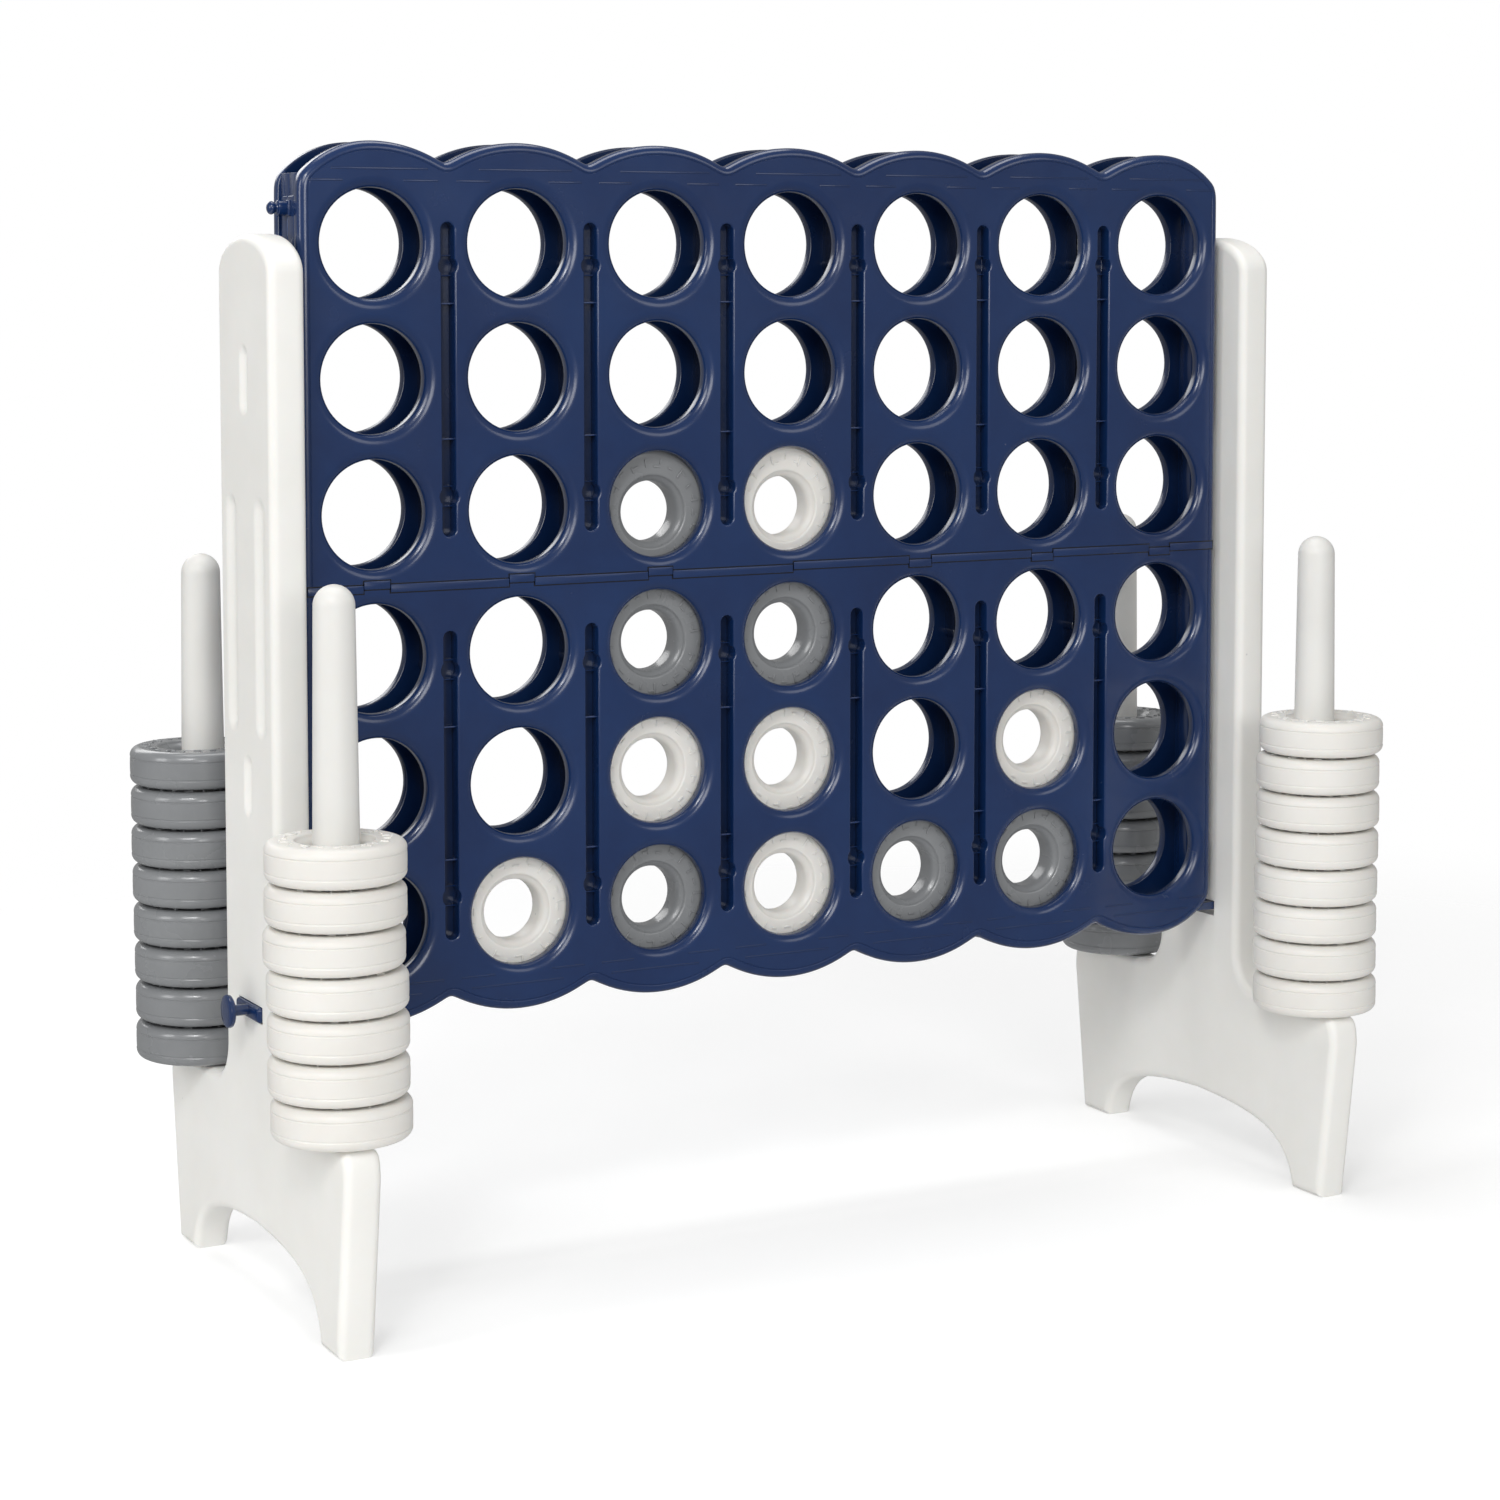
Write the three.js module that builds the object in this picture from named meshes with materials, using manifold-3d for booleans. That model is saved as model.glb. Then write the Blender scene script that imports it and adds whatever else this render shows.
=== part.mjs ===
// Giant four in a row frame: a two-shell board on two legs, with a release slider under the columns,
// four ring posts, and rings in the board and on the posts.
// Millimetres, +Z up, +X to the right along the board, the player's side faces -Y.
// The origin is on the floor under the middle of the frame.
import * as THREE from 'three';
import { mergeVertices } from 'three/addons/utils/BufferGeometryUtils.js';
import Module from 'manifold-3d';

const wasm = await Module();
wasm.setup();

// ---- Driving dimensions ------------------------------------------------------------------------
const FIT_GAP = 0.3;            // space left between two pieces that touch

const COLUMNS = 7;
const ROWS_PER_HALF = 3;
const COLUMN_PITCH = 142;
const ROW_PITCH = 121;
const SEAM_ROW_OFFSET = 65;     // seam to the centre of the nearest row of holes
const SEAM_Z = 640;             // height of the joint between the upper and the lower shells

const BOARD_HALF_WIDTH = 496;
const BOARD_HALF_DEPTH = 34.5;  // middle plane to the outer face of a shell
const WALL = 14.5;              // depth of a shell's face wall
const CREST = 398;              // seam to the top of a scallop
const CREST_RADIUS = 135;
const CREST_REACH = 66;         // where a scallop runs into the fillet beside it
const VALLEY_CONTROL = 378;     // height of the fillet's control point
const END_RADIUS = 90;          // outer half of the first and the last scallop
const END_REACH = 64;
const CORNER_CONTROL = 365;
const CORNER_START = 352;

const HOLE_RADIUS = 49.5;
const HOLE_SEGMENTS = 12;

const DIVIDER_WIDTH = 16;
const DIVIDER_END = 369;        // seam to the far end of a divider
const SLOT_WIDTH = 13;          // groove moulded into each divider, open to the outer face
const SLOT_NEAR = 43;
const SLOT_FAR = 326;
const SLOT_FLOOR = 3;           // the groove's bottom, from the middle plane
const SIDE_WALL_INNER = 489;
const SIDE_WALL_THICKNESS = 3;

const STRIP_TOP = 4.85;         // raised strips along the seam
const STRIP_LAP = 2.35;         // how far a strip laps over the other shell
const STRIP_PROUD = 1;
const TAB_WIDTH = 25;           // short tabs between the other shell's strips
const TAB_TOP = 5.9;
const TAB_LAP = 1.4;

const RING_OUTER_RADIUS = 60.8;
const RING_THICKNESS = 36.7;
const RING_EDGE = 5.5;          // chamfer around the rim
const RING_THROAT_RADIUS = 28.4;
const RING_THROAT_LENGTH = 21;
const RING_MOUTH_RADIUS = 34.4;
const RING_SEGMENTS = 12;
const RING_PITCH = 37;          // height that one ring takes up in a stack
const RING_DROP = 122;          // height that one ring takes up in a column

const LEG_INNER_X = 503;
const LEG_THICKNESS = 34;
const LEG_BEVEL = 7;
const LEG_TOP = 955;
const LEG_HALF_DEPTH = 67;
const LEG_CROWN = 34;           // rise of the rounded top
const SHOULDER_Z = 184;
const SHOULDER_HALF_DEPTH = 228;
const SHOULDER_CORNER = 14;
const SHOULDER_FILLET = 38;
const FOOT_OUTER = 208;
const FOOT_INNER = 162;
const ARCH_TOP = 66;
const TONGUE_HALF_DEPTH = 17;   // rail on the leg that stands in the board's end channel
const TONGUE_REACH = 9;
const TONGUE_BOTTOM = 330;
const TONGUE_TOP = 762;

const POST_Y = 170;
const POST_TOP = 659;
const POST_BASE_RADIUS = 23;
const POST_TOP_RADIUS = 18;
const SPIGOT_RADIUS = 8;
const SPIGOT_LENGTH = 24;

const SLIDER_TOP = 269;
const SLIDER_HEIGHT = 8;
const RAIL_OUTER = 29.5;
const RAIL_WIDTH = 9;
const BAR_WIDTH = 12;
const HANDLE_HEIGHT = 14;
const SLIDER_END_X = 515;
const HANDLE_PLATE_X = 541;
const GRIP_X = 555;
const GRIP_RADIUS = 15;
const GRIP_DROP = 6;            // the disc's centre, below the slider's top face

const PEG_RISE = 338;           // seam to the pegs that lock the board's ends into the legs
const PEG_LENGTH = 21;
const PEG_SHAFT_RADIUS = 6.8;
const PEG_BALL_RADIUS = 6;

const LEG_CENTRE_X = LEG_INNER_X + LEG_THICKNESS / 2;
const INNER_FACE = BOARD_HALF_DEPTH - WALL;
const CHANNEL_Z = SLIDER_TOP + 1;   // where the lowest ring of a column rests

// ---- Materials ---------------------------------------------------------------------------------
const navyPlastic = new THREE.MeshStandardMaterial({ color: 0x1f305a, roughness: 0.32, metalness: 0 });
const whitePlastic = new THREE.MeshStandardMaterial({ color: 0xecebe7, roughness: 0.5, metalness: 0 });
const greyPlastic = new THREE.MeshStandardMaterial({ color: 0x8e9093, roughness: 0.45, metalness: 0 });

// ---- Solids ------------------------------------------------------------------------------------
function toSolid(geometry) {
  const bare = geometry.clone();
  bare.deleteAttribute('normal');
  bare.deleteAttribute('uv');
  const welded = mergeVertices(bare, 1e-4);
  return new wasm.Manifold(new wasm.Mesh({
    numProp: 3,
    vertProperties: new Float32Array(welded.attributes.position.array),
    triVerts: new Uint32Array(welded.index.array),
  }));
}

function toGeometry(solid) {
  const mesh = solid.getMesh();
  const geometry = new THREE.BufferGeometry();
  geometry.setAttribute('position', new THREE.BufferAttribute(mesh.vertProperties, mesh.numProp));
  geometry.setIndex(new THREE.BufferAttribute(mesh.triVerts, 1));
  return geometry;
}

// A box between two corners.
function block([x0, y0, z0], [x1, y1, z1]) {
  const geometry = new THREE.BoxGeometry(x1 - x0, y1 - y0, z1 - z0);
  geometry.translate((x0 + x1) / 2, (y0 + y1) / 2, (z0 + z1) / 2);
  return toSolid(geometry);
}

// A solid of revolution about +Z. The profile is a list of [radius, height].
function turned(profile, segments) {
  const points = profile.map(([radius, height]) => new THREE.Vector2(radius, height));
  return new THREE.LatheGeometry(points, segments).rotateX(Math.PI / 2);
}

// A round-ended bar, drawn in XY along Y from y0 to y1, and extruded from z0 to z1.
function roundEndedBar(x, width, y0, y1, z0, z1) {
  const r = width / 2;
  const shape = new THREE.Shape();
  shape.absarc(x, y0 + r, r, Math.PI, 2 * Math.PI, false);
  shape.absarc(x, y1 - r, r, 0, Math.PI, false);
  const geometry = new THREE.ExtrudeGeometry(shape,
    { depth: z1 - z0, bevelEnabled: false, curveSegments: 2 });
  return toSolid(geometry.translate(0, 0, z0));
}

function subtractAll(solid, cutters) {
  return cutters.reduce((rest, cutter) => rest.subtract(cutter), solid);
}

function addAll(solid, pieces) {
  return pieces.reduce((sum, piece) => sum.add(piece), solid);
}

function named(name, geometry, material) {
  const mesh = new THREE.Mesh(geometry, material);
  mesh.name = name;
  return mesh;
}

const columnX = (column) => (column - (COLUMNS + 1) / 2) * COLUMN_PITCH;
const dividerX = (gap) => (gap - COLUMNS / 2) * COLUMN_PITCH;
const gaps = Array.from({ length: COLUMNS - 1 }, (_, i) => i + 1);

// ---- Board shells ------------------------------------------------------------------------------
// A shell is drawn with X along the board, Y away from the seam and Z out from the middle plane.
// The front and back, upper and lower shells are the same moulding, turned half round.
function shellOutline() {
  const shape = new THREE.Shape();
  const angle = Math.asin(CREST_REACH / CREST_RADIUS);
  const endAngle = Math.asin(END_REACH / END_RADIUS);
  const centreY = CREST - CREST_RADIUS;
  const edgeY = centreY + Math.sqrt(CREST_RADIUS ** 2 - CREST_REACH ** 2);
  const endY = CREST - END_RADIUS;
  const first = columnX(1);
  const last = columnX(COLUMNS);
  shape.moveTo(-BOARD_HALF_WIDTH, FIT_GAP / 2);
  shape.lineTo(-BOARD_HALF_WIDTH, CORNER_START);
  shape.quadraticCurveTo(-BOARD_HALF_WIDTH, CORNER_CONTROL, first - END_REACH,
    endY + END_RADIUS * Math.cos(endAngle));
  shape.absarc(first, endY, END_RADIUS, Math.PI / 2 + endAngle, Math.PI / 2, true);
  for (let column = 1; column < COLUMNS; column++) {
    const x = columnX(column);
    const next = x + COLUMN_PITCH;
    shape.absarc(x, centreY, CREST_RADIUS, Math.PI / 2, Math.PI / 2 - angle, true);
    shape.quadraticCurveTo(dividerX(column), VALLEY_CONTROL, next - CREST_REACH, edgeY);
    shape.absarc(next, centreY, CREST_RADIUS, Math.PI / 2 + angle, Math.PI / 2, true);
  }
  shape.absarc(last, endY, END_RADIUS, Math.PI / 2, Math.PI / 2 - endAngle, true);
  shape.quadraticCurveTo(BOARD_HALF_WIDTH, CORNER_CONTROL, BOARD_HALF_WIDTH, CORNER_START);
  shape.lineTo(BOARD_HALF_WIDTH, FIT_GAP / 2);
  return shape;
}

function shellHole() {
  const past = 1;
  const low = INNER_FACE - past;
  const high = BOARD_HALF_DEPTH + past;
  return toSolid(turned([[0, low], [HOLE_RADIUS, low], [HOLE_RADIUS, high], [0, high]], HOLE_SEGMENTS));
}

// A raised bar on the shell's face that laps over the shell on the other side of the seam.
function seamBar(left, right, top, lap) {
  const buried = 1;
  const face = BOARD_HALF_DEPTH;
  return [
    block([left, FIT_GAP / 2, face - buried], [right, top, face + STRIP_PROUD]),
    block([left, -lap, face + FIT_GAP], [right, top, face + STRIP_PROUD]),
  ];
}

// Long strips on the right half of the seam, and short tabs that fill the gaps of the other
// shell's strips on the left half.
function seamStripsAndTabs() {
  const pieces = [];
  const room = TAB_WIDTH / 2 + 2 * FIT_GAP;
  let start = 2 * FIT_GAP;
  for (let k = 1; k <= (COLUMNS + 1) / 2; k++) {
    const end = Math.min(k * COLUMN_PITCH - room, BOARD_HALF_WIDTH);
    pieces.push(...seamBar(start, end, STRIP_TOP, STRIP_LAP));
    start = k * COLUMN_PITCH + room;
  }
  for (let k = 1; k < (COLUMNS + 1) / 2; k++) {
    const left = -k * COLUMN_PITCH - TAB_WIDTH / 2;
    pieces.push(...seamBar(left, left + TAB_WIDTH, TAB_TOP, TAB_LAP));
  }
  return pieces;
}

function shellSolid() {
  const wallGeometry = new THREE.ExtrudeGeometry(shellOutline(),
    { depth: WALL, bevelEnabled: false, curveSegments: 2 });
  const wall = toSolid(wallGeometry.translate(0, 0, INNER_FACE));
  const buried = 1;
  const middle = FIT_GAP / 2;
  const dividers = gaps.map((gap) => block(
    [dividerX(gap) - DIVIDER_WIDTH / 2, middle, middle],
    [dividerX(gap) + DIVIDER_WIDTH / 2, DIVIDER_END, INNER_FACE + buried]));
  const sideWalls = [-1, 1].map((side) => {
    const x = [side * SIDE_WALL_INNER, side * (SIDE_WALL_INNER + SIDE_WALL_THICKNESS)];
    return block([Math.min(...x), middle, middle], [Math.max(...x), DIVIDER_END, INNER_FACE + buried]);
  });
  const body = addAll(wall, [...dividers, ...sideWalls, ...seamStripsAndTabs()]);

  const hole = shellHole();
  const holes = [];
  for (let column = 1; column <= COLUMNS; column++) {
    for (let row = 0; row < ROWS_PER_HALF; row++) {
      holes.push(hole.translate(columnX(column), SEAM_ROW_OFFSET + row * ROW_PITCH, 0));
    }
  }
  const slots = gaps.map((gap) => roundEndedBar(dividerX(gap), SLOT_WIDTH, SLOT_NEAR, SLOT_FAR,
    SLOT_FLOOR, BOARD_HALF_DEPTH + 1));
  const railTop = SEAM_Z - SLIDER_TOP;
  const railGroove = block(
    [-BOARD_HALF_WIDTH - 1, railTop - FIT_GAP, INNER_FACE - 1],
    [BOARD_HALF_WIDTH + 1, railTop + SLIDER_HEIGHT + FIT_GAP, RAIL_OUTER + FIT_GAP]);
  return subtractAll(body, [...holes, ...slots, railGroove]);
}

function board() {
  const group = new THREE.Group();
  group.position.z = SEAM_Z;
  const geometry = toGeometry(shellSolid());
  const turns = {
    front_upper_shell: [0, 0, 0],
    front_lower_shell: [0, Math.PI, 0],
    back_upper_shell: [0, 0, Math.PI],
    back_lower_shell: [Math.PI, 0, 0],
  };
  for (const [name, turn] of Object.entries(turns)) {
    const shell = named(name, geometry, navyPlastic);
    shell.rotation.x = Math.PI / 2;
    const turned = new THREE.Group();
    turned.rotation.set(...turn);
    turned.add(shell);
    group.add(turned);
  }
  return group;
}

// Ball-ended pegs at the four corners of the board's ends. The lower two stand in sockets in the legs.
function pegGeometry() {
  const root = SIDE_WALL_INNER + SIDE_WALL_THICKNESS + FIT_GAP;
  const base = block([root, -9, -7], [root + 4, 9, 7]);
  const neck = PEG_BALL_RADIUS - 1.6;
  const shaft = toSolid(turned([
    [0, 3], [PEG_SHAFT_RADIUS, 3], [PEG_SHAFT_RADIUS, 11.5], [neck, 13], [neck, 14],
    [PEG_BALL_RADIUS, 16], [PEG_BALL_RADIUS, 18.5], [3.5, PEG_LENGTH], [0, PEG_LENGTH],
  ], 10).rotateY(Math.PI / 2).translate(root, 0, 0));
  return toGeometry(base.add(shaft));
}

function sidePegs() {
  const group = new THREE.Group();
  const geometry = pegGeometry();
  for (const [level, rise] of Object.entries({ upper: PEG_RISE, lower: -PEG_RISE })) {
    for (const [side, turn] of Object.entries({ right: 0, left: Math.PI })) {
      const peg = named(`${side}_${level}_peg`, geometry, navyPlastic);
      peg.rotation.z = turn;
      peg.position.z = SEAM_Z + rise;
      group.add(peg);
    }
  }
  return group;
}

// ---- Legs --------------------------------------------------------------------------------------
// Drawn with X along the leg's depth and Y up, then stood up so that the drawing faces +X.
function legOutline() {
  const shape = new THREE.Shape();
  const fillet = SHOULDER_FILLET;
  const corner = SHOULDER_CORNER;
  const crownZ = LEG_TOP - LEG_CROWN;
  shape.moveTo(FOOT_INNER, 0);
  shape.lineTo(FOOT_OUTER, 0);
  shape.lineTo(SHOULDER_HALF_DEPTH, SHOULDER_Z - 2 * corner);
  shape.quadraticCurveTo(SHOULDER_HALF_DEPTH, SHOULDER_Z, SHOULDER_HALF_DEPTH - corner, SHOULDER_Z);
  shape.lineTo(LEG_HALF_DEPTH + fillet, SHOULDER_Z);
  shape.absarc(LEG_HALF_DEPTH + fillet, SHOULDER_Z + fillet, fillet, -Math.PI / 2, -Math.PI, true);
  shape.lineTo(LEG_HALF_DEPTH, crownZ);
  shape.absellipse(0, crownZ, LEG_HALF_DEPTH, LEG_CROWN, 0, Math.PI, false, 0);
  shape.lineTo(-LEG_HALF_DEPTH, SHOULDER_Z + fillet);
  shape.absarc(-LEG_HALF_DEPTH - fillet, SHOULDER_Z + fillet, fillet, 0, -Math.PI / 2, true);
  shape.lineTo(-SHOULDER_HALF_DEPTH + corner, SHOULDER_Z);
  shape.quadraticCurveTo(-SHOULDER_HALF_DEPTH, SHOULDER_Z, -SHOULDER_HALF_DEPTH, SHOULDER_Z - 2 * corner);
  shape.lineTo(-FOOT_OUTER, 0);
  shape.lineTo(-FOOT_INNER, 0);
  shape.bezierCurveTo(-152, 0.76 * ARCH_TOP, -110, 0.94 * ARCH_TOP, 0, ARCH_TOP);
  shape.bezierCurveTo(110, 0.94 * ARCH_TOP, 152, 0.76 * ARCH_TOP, FOOT_INNER, 0);
  return shape;
}

// A leg stands on its drawing's X = depth, Y = height, Z = out from the board's end.
function legSolid() {
  const geometry = new THREE.ExtrudeGeometry(legOutline(), {
    depth: LEG_THICKNESS - 2 * LEG_BEVEL,
    bevelThickness: LEG_BEVEL,
    bevelSize: LEG_BEVEL,
    bevelOffset: -LEG_BEVEL,
    bevelSegments: 1,
    curveSegments: 4,
  });
  const plain = toSolid(geometry.translate(0, 0, LEG_INNER_X + LEG_BEVEL));
  const tongue = block([-TONGUE_HALF_DEPTH, TONGUE_BOTTOM, LEG_INNER_X - TONGUE_REACH],
    [TONGUE_HALF_DEPTH, TONGUE_TOP, LEG_INNER_X + 1]);
  const outer = LEG_INNER_X + LEG_THICKNESS;
  const grooveDepth = 4;
  const grooves = [
    roundEndedBar(0, 22, 795, 858, outer - grooveDepth, outer + 1),
    roundEndedBar(0, 22, 436, 493, outer - grooveDepth, outer + 1),
    roundEndedBar(-36, 28, 510, 725, outer - grooveDepth, outer + 1),
    roundEndedBar(36, 28, 510, 725, outer - grooveDepth, outer + 1),
  ];
  const sliderSlot = block(
    [-RAIL_OUTER - 0.7, SLIDER_TOP - HANDLE_HEIGHT - 0.7, LEG_INNER_X - 1],
    [RAIL_OUTER + 0.7, SLIDER_TOP + 0.7, outer + 1]);
  const socket = toSolid(turned([
    [0, SHOULDER_Z - SPIGOT_LENGTH - FIT_GAP],
    [SPIGOT_RADIUS + FIT_GAP, SHOULDER_Z - SPIGOT_LENGTH - FIT_GAP],
    [SPIGOT_RADIUS + FIT_GAP, SHOULDER_Z + 1],
    [0, SHOULDER_Z + 1],
  ], 12).rotateX(-Math.PI / 2));
  const sockets = [-POST_Y, POST_Y].map((y) => socket.translate(y, 0, LEG_CENTRE_X));
  const socketRadius = PEG_SHAFT_RADIUS + 3 * FIT_GAP;
  const socketEnd = LEG_INNER_X + PEG_LENGTH - 8;
  const pegSocket = toSolid(turned([
    [0, LEG_INNER_X - 1], [socketRadius, LEG_INNER_X - 1], [socketRadius, socketEnd], [0, socketEnd],
  ], 10).translate(0, SEAM_Z - PEG_RISE, 0));
  return subtractAll(plain.add(tongue), [...grooves, sliderSlot, ...sockets, pegSocket]);
}

function legs() {
  const group = new THREE.Group();
  const geometry = toGeometry(legSolid()).rotateX(Math.PI / 2).rotateZ(Math.PI / 2);
  const right = named('right_leg', geometry, whitePlastic);
  const left = named('left_leg', geometry, whitePlastic);
  left.rotation.z = Math.PI;
  group.add(left, right);
  return group;
}

// ---- Ring posts --------------------------------------------------------------------------------
function postGeometry() {
  const base = SHOULDER_Z + FIT_GAP;
  const dome = POST_TOP_RADIUS;
  const domeBase = POST_TOP - dome;
  const domePoints = [0, 30, 60].map((degrees) => {
    const angle = THREE.MathUtils.degToRad(degrees);
    return [dome * Math.cos(angle), domeBase + dome * Math.sin(angle)];
  });
  return turned([
    [0, base - SPIGOT_LENGTH],
    [SPIGOT_RADIUS, base - SPIGOT_LENGTH],
    [SPIGOT_RADIUS, base],
    [POST_BASE_RADIUS, base],
    ...domePoints,
    [0, POST_TOP],
  ], 16);
}

const CORNERS = {
  left_front: [-1, -1],
  right_front: [1, -1],
  left_back: [-1, 1],
  right_back: [1, 1],
};

function posts() {
  const group = new THREE.Group();
  const geometry = postGeometry();
  for (const [corner, [sideX, sideY]] of Object.entries(CORNERS)) {
    const post = named(`${corner}_post`, geometry, whitePlastic);
    post.position.set(sideX * LEG_CENTRE_X, sideY * POST_Y, 0);
    group.add(post);
  }
  return group;
}

// ---- Release slider ----------------------------------------------------------------------------
// A ladder under the columns: each crossbar holds up one column, and half a pitch to the left
// the rings fall between the crossbars.
function slider() {
  const low = SLIDER_TOP - SLIDER_HEIGHT;
  const legOuter = LEG_INNER_X + LEG_THICKNESS;
  const rails = [-1, 1].map((side) => {
    const y = [side * RAIL_OUTER, side * (RAIL_OUTER - RAIL_WIDTH)];
    return block([-LEG_INNER_X, Math.min(...y), low], [SLIDER_END_X, Math.max(...y), SLIDER_TOP]);
  });
  const bars = [];
  for (let column = 1; column <= COLUMNS; column++) {
    const x = columnX(column);
    bars.push(block([x - BAR_WIDTH / 2, -RAIL_OUTER + 1, low],
      [x + BAR_WIDTH / 2, RAIL_OUTER - 1, SLIDER_TOP]));
  }
  const endBar = block([LEG_INNER_X, -RAIL_OUTER + 1, low], [SLIDER_END_X, RAIL_OUTER - 1, SLIDER_TOP]);
  const handlePlate = block([-HANDLE_PLATE_X, -RAIL_OUTER, SLIDER_TOP - HANDLE_HEIGHT],
    [-LEG_INNER_X + 3, RAIL_OUTER, SLIDER_TOP]);
  const gripThickness = 6;
  const grip = toSolid(turned([
    [0, legOuter], [5, legOuter], [5, GRIP_X], [GRIP_RADIUS - 2, GRIP_X], [GRIP_RADIUS, GRIP_X + 2],
    [GRIP_RADIUS, GRIP_X + 4], [GRIP_RADIUS - 2, GRIP_X + gripThickness], [0, GRIP_X + gripThickness],
  ], 16).rotateY(-Math.PI / 2).translate(0, 0, SLIDER_TOP - GRIP_DROP));
  const solid = addAll(handlePlate, [...rails, ...bars, endBar, grip]);
  return named('release_slider', toGeometry(solid), navyPlastic);
}

// ---- Rings -------------------------------------------------------------------------------------
function ringGeometry() {
  const half = RING_THICKNESS / 2;
  const edge = RING_OUTER_RADIUS - RING_EDGE;
  const throat = RING_THROAT_LENGTH / 2;
  return turned([
    [RING_THROAT_RADIUS, -throat],
    [RING_MOUTH_RADIUS, -half],
    [edge, -half],
    [RING_OUTER_RADIUS, -half + RING_EDGE],
    [RING_OUTER_RADIUS, half - RING_EDGE],
    [edge, half],
    [RING_MOUTH_RADIUS, half],
    [RING_THROAT_RADIUS, throat],
    [RING_THROAT_RADIUS, -throat],
  ], RING_SEGMENTS);
}

const ringMaterials = { white: whitePlastic, grey: greyPlastic };

// Rings stacked flat on the posts, from the bottom up. The throat is wider than the post, so each
// ring lies a little off the post's axis: the numbers are how far, along SLIP_DIRECTION.
const STACKS = {
  left_front: ['white', [2.5, 0.5, 0.5, 0, -2.5, -1, -0.7]],
  right_front: ['white', [3.5, 3, 3, 3.5, 4, 4.5, 4, 7]],
  left_back: ['grey', [-4.5, -4.5, -5, -5.5, -6, -6.5, -6.5, -7]],
  right_back: ['grey', [1.5, 0.5, -1, 0.5, 2, 1, 2.5]],
};
const SLIP_DIRECTION = [0.88, -0.47];

function stackedRings(geometry) {
  const group = new THREE.Group();
  for (const [corner, [colour, slips]] of Object.entries(STACKS)) {
    const [sideX, sideY] = CORNERS[corner];
    slips.forEach((slip, index) => {
      const ring = named(`${colour}_ring_${corner}_${index + 1}`, geometry, ringMaterials[colour]);
      ring.position.set(
        sideX * LEG_CENTRE_X + slip * SLIP_DIRECTION[0],
        sideY * POST_Y + slip * SLIP_DIRECTION[1],
        SHOULDER_Z + (index + 0.5) * RING_PITCH);
      group.add(ring);
    });
  }
  return group;
}

// Rings on edge in the board's columns, from the bottom up.
const PLAYED = {
  2: ['white'],
  3: ['grey', 'white', 'grey', 'grey'],
  4: ['white', 'white', 'grey', 'white'],
  5: ['grey'],
  6: ['grey', 'white'],
};

function playedRings(geometry) {
  const group = new THREE.Group();
  for (const [column, colours] of Object.entries(PLAYED)) {
    colours.forEach((colour, index) => {
      const ring = named(`${colour}_ring_column_${column}_${index + 1}`, geometry, ringMaterials[colour]);
      ring.rotation.x = Math.PI / 2;
      ring.position.set(columnX(Number(column)), 0, CHANNEL_Z + (index + 0.5) * RING_DROP);
      group.add(ring);
    });
  }
  return group;
}

// ---- Assembly ----------------------------------------------------------------------------------
const frame = new THREE.Group();
const ring = ringGeometry();
frame.add(board(), sidePegs(), legs(), posts(), slider(), stackedRings(ring), playedRings(ring));

export default frame;
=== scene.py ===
"""Looks of a giant four in a row frame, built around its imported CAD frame.

Lengths in the profiles below are millimetres; every mesh is written in metres, in the CAD's own frame.
"""

import math

import bpy
from mathutils import Matrix, Vector
from mathutils.geometry import delaunay_2d_cdt


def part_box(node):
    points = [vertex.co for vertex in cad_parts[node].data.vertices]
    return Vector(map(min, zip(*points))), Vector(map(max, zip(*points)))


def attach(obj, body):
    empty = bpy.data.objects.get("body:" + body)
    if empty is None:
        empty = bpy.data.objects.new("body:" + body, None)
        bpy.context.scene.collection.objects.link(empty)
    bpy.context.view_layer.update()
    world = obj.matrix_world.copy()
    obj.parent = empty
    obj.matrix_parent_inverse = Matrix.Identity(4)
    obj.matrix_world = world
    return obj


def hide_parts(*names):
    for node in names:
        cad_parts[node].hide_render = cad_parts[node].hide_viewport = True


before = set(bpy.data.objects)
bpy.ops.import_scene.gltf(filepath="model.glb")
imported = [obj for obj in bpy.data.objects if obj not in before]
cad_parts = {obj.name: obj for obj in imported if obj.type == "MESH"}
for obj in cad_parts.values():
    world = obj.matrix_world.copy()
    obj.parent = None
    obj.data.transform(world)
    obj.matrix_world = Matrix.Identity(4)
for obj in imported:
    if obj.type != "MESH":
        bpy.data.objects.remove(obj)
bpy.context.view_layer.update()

MM = 0.001

# ---- Sizes, in millimetres -----------------------------------------------------------------------
SEAM_Z = 640
FIT_GAP = 0.3
COLUMNS = 7
COLUMN_PITCH = 142
ROW_PITCH = 121
SEAM_ROW_OFFSET = 65
BOARD_HALF_WIDTH = 496
FACE_Y = 34.5
INNER_Y = 20
CREST = 398
CREST_RADIUS = 135
CREST_REACH = 66
VALLEY_CONTROL = 378
END_RADIUS = 90
END_REACH = 64
CORNER_CONTROL = 365
CORNER_START = 352
HOLE_RADIUS = 49.5
HOLE_FLARE = 10.2
SLOT_HALF = 6.5
SLOT_NEAR = 43
SLOT_FAR = 326
SLOT_FLOOR = 3
BOSS_RADIUS = 9
BOSS_PLACES = (79, 287)
DIVIDER_END = 369
STRIP_TOP = 4.85
STRIP_LAP = 2.35
TAB_HALF = 12.5
TAB_TOP = 5.9
TAB_LAP = 1.4
# Margin and rise of the near-black plates round the seam bars, painted shade for the seam gap.
GAP_WIDTH = 1.1
GAP_PROUD = 0.09
RING_RADIUS = 60.8
RING_HALF = 18.35
LEG_INNER_X = 503
LEG_OUTER_X = 537
POST_X = 520
POST_Y = 170
SHOULDER_Z = 184
POST_TOP = 659


def column_x(column):
    return (column - (COLUMNS + 1) / 2) * COLUMN_PITCH


def divider_x(gap):
    return (gap - COLUMNS / 2) * COLUMN_PITCH


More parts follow.
